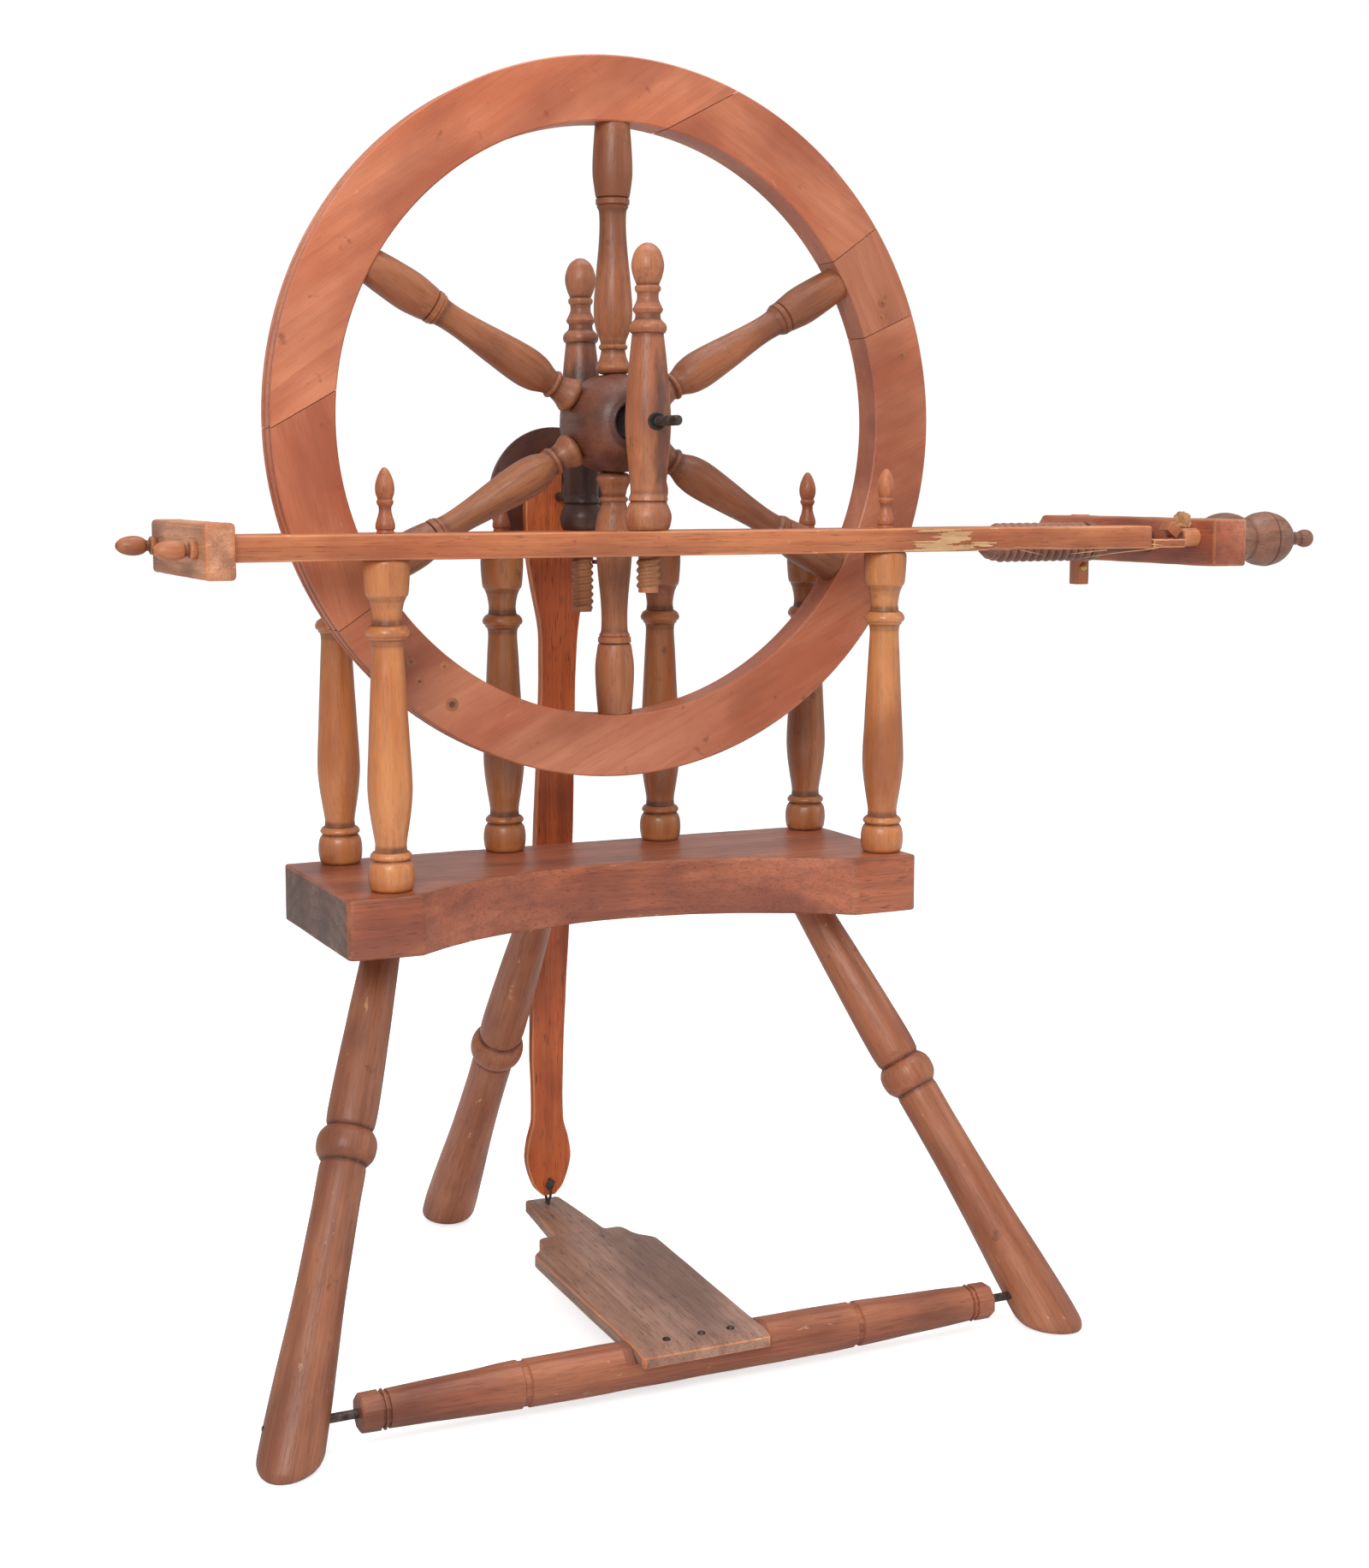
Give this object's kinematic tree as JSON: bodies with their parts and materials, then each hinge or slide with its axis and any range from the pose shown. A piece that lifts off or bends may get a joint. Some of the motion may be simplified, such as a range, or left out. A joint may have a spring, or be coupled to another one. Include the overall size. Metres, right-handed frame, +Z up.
{
  "type": "spinning wheel",
  "caption": "Treadle spinning wheel: spoked drive wheel on an iron crank axle between parallel rails, turned posts and spindles, bench on splayed legs, wooden tension screw.",
  "frame": {"origin": "on the floor, under the centre of the whole object's bounding box", "axes": "+X along the rails towards the tension screw, +Y away from the spinner's side, +Z up; the drive wheel's axle lies along Y"},
  "size_m": [0.9707, 0.469, 0.9018],
  "materials": {
    "dark_brown_wood": "worn satin varnish",
    "red_brown_wood": "worn satin varnish",
    "honey_wood": "worn satin varnish",
    "worn_pale_wood": "bare, rough where it broke",
    "grey_brown_wood": "dull",
    "dark_iron": "forged, dark",
    "brass": "dulled",
    "tan_leather": "dry",
    "dark_thong": "dry"
  },
  "bodies": {
    "frame": {"bench": "dark_brown_wood", "front_left_leg": "honey_wood", "front_right_leg": "honey_wood", "rear_leg": "honey_wood", "front_rail": "red_brown_wood", "front_rail_tongue": "red_brown_wood", "front_rail_stub": "worn_pale_wood", "front_rail_wedge": "red_brown_wood", "rear_rail": "dark_brown_wood", "left_end_block": "dark_brown_wood", "right_end_block": "red_brown_wood", "front_end_finial": "dark_brown_wood", "rear_end_finial": "dark_brown_wood", "right_block_peg": "honey_wood", "right_block_peg_tack": "brass", "leather_scrap": "tan_leather", "front_post": "red_brown_wood", "rear_post": "dark_brown_wood", "front_bearing": "tan_leather", "rear_bearing": "tan_leather", "rear_post_lock_pin": "dark_iron", "treadle_pin_left": "dark_iron", "treadle_pin_right": "dark_iron", "front_left_baluster": "honey_wood", "front_left_finial": "red_brown_wood", "front_right_baluster": "honey_wood", "front_right_finial": "red_brown_wood", "rear_left_baluster": "honey_wood", "rear_left_finial": "red_brown_wood", "rear_mid_left_baluster": "honey_wood", "rear_mid_left_finial": "red_brown_wood", "rear_mid_right_baluster": "honey_wood", "rear_mid_right_finial": "red_brown_wood", "rear_right_baluster": "honey_wood", "rear_right_finial": "red_brown_wood"},
    "drive_wheel": {"rim_felloe_1": "dark_brown_wood", "rim_felloe_2": "dark_brown_wood", "rim_felloe_3": "dark_brown_wood", "rim_felloe_4": "dark_brown_wood", "rim_felloe_5": "dark_brown_wood", "spoke_1": "dark_brown_wood", "spoke_2": "dark_brown_wood", "spoke_3": "dark_brown_wood", "spoke_4": "dark_brown_wood", "spoke_5": "dark_brown_wood", "spoke_6": "dark_brown_wood", "hub": "dark_brown_wood", "axle_and_crank": "dark_iron"},
    "treadle": {"treadle_bar": "dark_brown_wood", "treadle_board": "red_brown_wood", "treadle_nail_1": "dark_iron", "treadle_nail_2": "dark_iron", "treadle_nail_3": "dark_iron"},
    "footman_link": {"footman": "red_brown_wood", "footman_disc": "grey_brown_wood", "crank_keeper": "dark_iron", "footman_tie": "dark_thong"},
    "tension_screw_body": {"tension_screw": "dark_brown_wood"}
  },
  "joints": [
    {"name": "wheel_spin", "type": "hinge", "parent": "frame", "child": "drive_wheel", "pos_m": [-0.1458, -0.0411, 0.652], "axis": [0, 1, 0], "continuous": true},
    {"name": "treadle_hinge", "type": "hinge", "parent": "frame", "child": "treadle", "pos_m": [-0.1573, -0.1981, 0.024], "axis": [1, 0, 0], "range_deg": [0, 24]},
    {"name": "footman_hinge", "type": "hinge", "parent": "treadle", "child": "footman_link", "pos_m": [-0.1578, 0.0689, 0.04416], "axis": [1, 0, 0], "range_deg": [-30, 0]},
    {"name": "tension_screw_turn", "type": "hinge", "parent": "frame", "child": "tension_screw_body", "pos_m": [0.3342, -0.0411, 0.5645], "axis": [1, 0, 0], "continuous": true}
  ],
  "couplings": [
    {"joint": "footman_hinge", "follows": "treadle_hinge", "ratio": -1.24}
  ]
}
